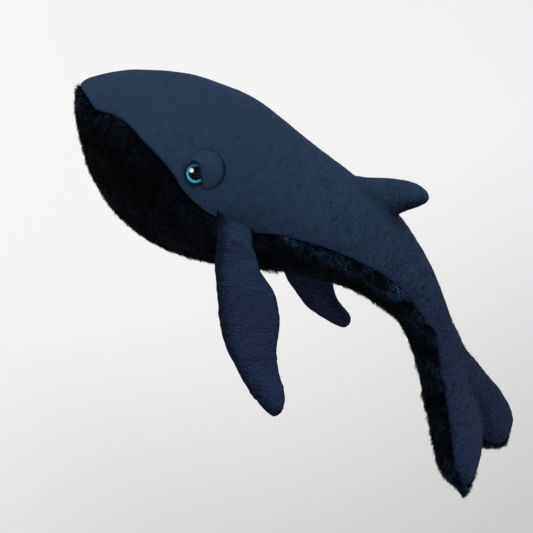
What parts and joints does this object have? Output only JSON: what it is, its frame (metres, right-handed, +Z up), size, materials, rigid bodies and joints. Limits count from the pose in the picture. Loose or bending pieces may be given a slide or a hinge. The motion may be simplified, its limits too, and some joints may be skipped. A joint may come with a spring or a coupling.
{
  "type": "plush whale",
  "caption": "Stuffed plush whale: crinkled cloth back, short fur throat and belly, flapping pectoral fins, bending forked tail, dorsal fin and domed eyes under padded lids.",
  "frame": {"origin": "on the surface the whale rests on, under the middle of its bounding box", "axes": "+Z up out of the back, +X towards the tail, so the head points to -X and the whale's left side is -Y"},
  "size_m": [0.5002, 0.2142, 0.2105],
  "materials": {
    "crinkle_cloth": "matte navy crinkled jersey",
    "short_fur": "near-black navy short-pile fur with a soft blue sheen",
    "fibre_filling": "white loose polyester fibre",
    "eye_back_plastic": "glossy black moulding",
    "pupil_black": "glossy black",
    "iris_turquoise": "painted turquoise under the dome",
    "clear_dome": "clear polished dome",
    "washer_plastic": "matte white moulding"
  },
  "bodies": {
    "body": {"back_cloth_left": "crinkle_cloth", "back_cloth_right": "crinkle_cloth", "throat_fur": "short_fur", "belly_fur": "short_fur", "trunk_filling": "fibre_filling", "dorsal_fin_filling": "fibre_filling", "left_eye_back": "eye_back_plastic", "left_eye_iris": "iris_turquoise", "left_eye_pupil": "pupil_black", "left_eye_dome": "clear_dome", "left_eye_washer": "washer_plastic", "left_eyelid": "crinkle_cloth", "right_eye_back": "eye_back_plastic", "right_eye_iris": "iris_turquoise", "right_eye_pupil": "pupil_black", "right_eye_dome": "clear_dome", "right_eye_washer": "washer_plastic", "right_eyelid": "crinkle_cloth"},
    "tail": {"tail_cloth_left": "crinkle_cloth", "tail_cloth_right": "crinkle_cloth", "tail_fur": "short_fur", "tail_filling": "fibre_filling", "left_fluke_filling": "fibre_filling", "right_fluke_filling": "fibre_filling"},
    "left_fin": {"left_fin_outer_cloth": "crinkle_cloth", "left_fin_inner_cloth": "crinkle_cloth", "left_fin_filling": "fibre_filling"},
    "right_fin": {"right_fin_outer_cloth": "crinkle_cloth", "right_fin_inner_cloth": "crinkle_cloth", "right_fin_filling": "fibre_filling"}
  },
  "joints": [
    {"name": "tail_bend", "type": "hinge", "parent": "body", "child": "tail", "pos_m": [0.114, 0, 0.12323], "axis": [0, -1, 0], "range_deg": [-18, 18], "stiffness_Nm_per_rad": 0.5, "springref_deg": 2.86},
    {"name": "left_fin_flap", "type": "hinge", "parent": "body", "child": "left_fin", "pos_m": [-0.05513, -0.07585, 0.09499], "axis": [-0.9654, -0.2201, -0.1401], "range_deg": [-20, 60], "stiffness_Nm_per_rad": 0.35, "springref_deg": -6.88},
    {"name": "right_fin_flap", "type": "hinge", "parent": "body", "child": "right_fin", "pos_m": [-0.05513, 0.07585, 0.09499], "axis": [0.9654, -0.2201, 0.1401], "range_deg": [-20, 60], "stiffness_Nm_per_rad": 0.35, "springref_deg": -6.88}
  ]
}
